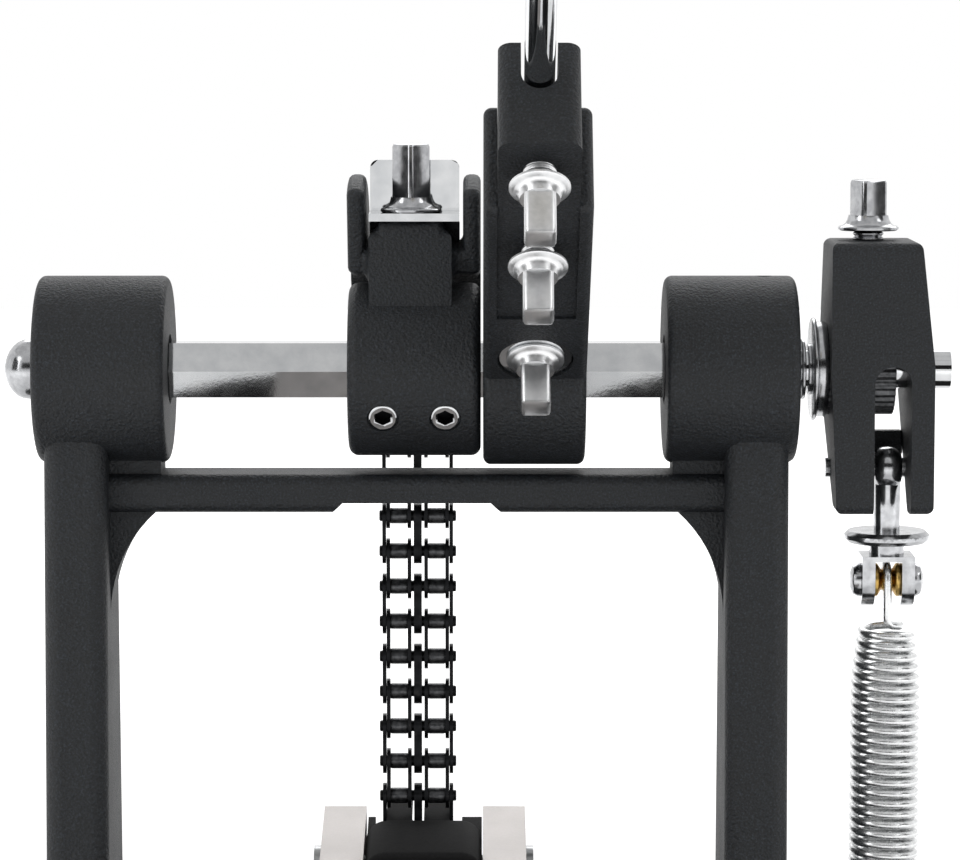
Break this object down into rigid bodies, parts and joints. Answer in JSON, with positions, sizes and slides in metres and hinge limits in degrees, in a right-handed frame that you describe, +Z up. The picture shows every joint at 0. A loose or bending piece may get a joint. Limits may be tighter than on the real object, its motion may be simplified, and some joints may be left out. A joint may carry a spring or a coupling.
{
  "type": "bass drum pedal",
  "caption": "Bass drum pedal: cast frame, hex axle with chain wheel and double roller chain, leaning beater, spring rocker with coil spring, footboard, heel and hoop clamp.",
  "frame": {"origin": "on the floor below the middle of the axle", "axes": "+Z up, +Y from the drummer to the drum, +X to the drummer's right"},
  "size_m": [0.244, 0.391, 0.3614],
  "materials": {
    "black_cast": "black textured powder coat on a casting",
    "chrome_steel": "bright chrome plate",
    "plain_steel": "zinc plated or bare turned steel",
    "spring_steel": "bright nickel plated spring wire",
    "black_steel": "black oxide or black paint, satin",
    "brass": "turned",
    "aluminium": "satin, fine tumbled",
    "rubber": "moulded, matt",
    "felt": "pressed wool felt",
    "core_plastic": "moulded"
  },
  "bodies": {
    "base": {"base_plate": "black_steel", "rubber_mat": "rubber", "frame_screws": "plain_steel", "heel_screws": "plain_steel", "spur_screws": "plain_steel", "spur_nuts": "plain_steel", "h_frame": "black_cast", "bearing_left": "plain_steel", "bearing_right": "plain_steel", "heel_plate": "black_cast", "heel_pin": "plain_steel", "tension_rod": "plain_steel", "anchor_pin": "plain_steel", "lock_nut": "plain_steel", "tension_knob": "chrome_steel", "clamp_base": "black_cast", "clamp_pin": "plain_steel", "lip_pad": "rubber"},
    "axle": {"hex_axle": "chrome_steel", "axle_cap": "chrome_steel", "thrust_washer": "chrome_steel", "axle_collar": "chrome_steel", "chain_cam": "black_cast", "cam_grub_screws": "black_steel", "chain_plate": "chrome_steel", "cam_key_bolt": "chrome_steel", "beater_hub": "black_cast", "beater_block": "black_cast", "hub_key_bolts": "chrome_steel", "hub_bolt_washer": "chrome_steel", "beater_rod": "chrome_steel", "beater_felt": "felt", "beater_core": "core_plastic", "spring_rocker": "black_cast", "rocker_bush": "plain_steel", "rocker_key_bolt": "chrome_steel", "rocker_pin": "plain_steel", "chain_end_link": "black_steel"},
    "chain_1": {"chain_link_1": "black_steel"},
    "chain_2": {"chain_link_2": "black_steel"},
    "chain_3": {"chain_link_3": "black_steel"},
    "chain_4": {"chain_link_4": "black_steel"},
    "chain_run": {"chain_run": "black_steel"},
    "hook": {"eye_hook": "chrome_steel", "swivel_clevis": "chrome_steel", "swivel_pin": "chrome_steel", "swivel_bobbin": "brass"},
    "spring": {"coil_spring": "spring_steel"},
    "footboard": {"footboard": "aluminium", "toe_block": "black_cast", "toe_screws": "plain_steel"},
    "clamp_jaw": {"clamp_jaw": "chrome_steel", "jaw_pad": "rubber"},
    "clamp_screw": {"clamp_wing_bolt": "chrome_steel"}
  },
  "joints": [
    {"name": "pedal_stroke", "type": "hinge", "parent": "base", "child": "axle", "pos_m": [0, 0, 0.205], "axis": [-1, 0, 0], "range_deg": [0, 72], "stiffness_Nm_per_rad": 0.9, "springref_deg": -45.84},
    {"name": "chain_bend_1", "type": "hinge", "parent": "axle", "child": "chain_1", "pos_m": [-0.0005, 0.01618, 0.23938], "axis": [1, 0, 0], "range_deg": [0, 14.45]},
    {"name": "chain_bend_2", "type": "hinge", "parent": "chain_1", "child": "chain_2", "pos_m": [-0.0005, 0.02422, 0.23428], "axis": [1, 0, 0], "range_deg": [0, 14.45]},
    {"name": "chain_bend_3", "type": "hinge", "parent": "chain_2", "child": "chain_3", "pos_m": [-0.0005, 0.03074, 0.22734], "axis": [1, 0, 0], "range_deg": [0, 14.45]},
    {"name": "chain_bend_4", "type": "hinge", "parent": "chain_3", "child": "chain_4", "pos_m": [-0.0005, 0.03533, 0.21899], "axis": [1, 0, 0], "range_deg": [0, 14.45]},
    {"name": "chain_bend_5", "type": "hinge", "parent": "chain_4", "child": "chain_run", "pos_m": [-0.0005, 0.0377, 0.20976], "axis": [1, 0, 0], "range_deg": [0, 16.75]},
    {"name": "footboard_hinge", "type": "hinge", "parent": "base", "child": "footboard", "pos_m": [0.0012, -0.232, 0.022], "axis": [-1, 0, 0], "range_deg": [0, 10]},
    {"name": "hook_swing", "type": "hinge", "parent": "axle", "child": "hook", "pos_m": [0.1213, 0, 0.1795], "axis": [1, 0, 0], "range_deg": [0, 81.5]},
    {"name": "spring_stretch", "type": "slide", "parent": "hook", "child": "spring", "axis": [0, 0, -1], "range_m": [0, 0.0197], "deforming": ["coil_spring"]},
    {"name": "clamp_close", "type": "hinge", "parent": "base", "child": "clamp_jaw", "pos_m": [0, 0.064, 0.022], "axis": [1, 0, 0], "range_deg": [-8, 8]},
    {"name": "clamp_screw_travel", "type": "slide", "parent": "base", "child": "clamp_screw", "axis": [0, 0, 1], "range_m": [-0.0019, 0.0019]}
  ],
  "couplings": [
    {"joint": "chain_bend_1", "follows": "pedal_stroke", "ratio": 0.2},
    {"joint": "chain_bend_2", "follows": "pedal_stroke", "ratio": 0.2},
    {"joint": "chain_bend_3", "follows": "pedal_stroke", "ratio": 0.2},
    {"joint": "chain_bend_4", "follows": "pedal_stroke", "ratio": 0.2},
    {"joint": "chain_bend_5", "follows": "pedal_stroke", "ratio": 0.23192},
    {"joint": "footboard_hinge", "follows": "pedal_stroke", "ratio": 0.13848},
    {"joint": "hook_swing", "follows": "pedal_stroke", "ratio": 1.13},
    {"joint": "spring_stretch", "follows": "pedal_stroke", "m_per_rad": 0.015601},
    {"joint": "clamp_screw_travel", "follows": "clamp_close", "m_per_rad": 0.013}
  ]
}
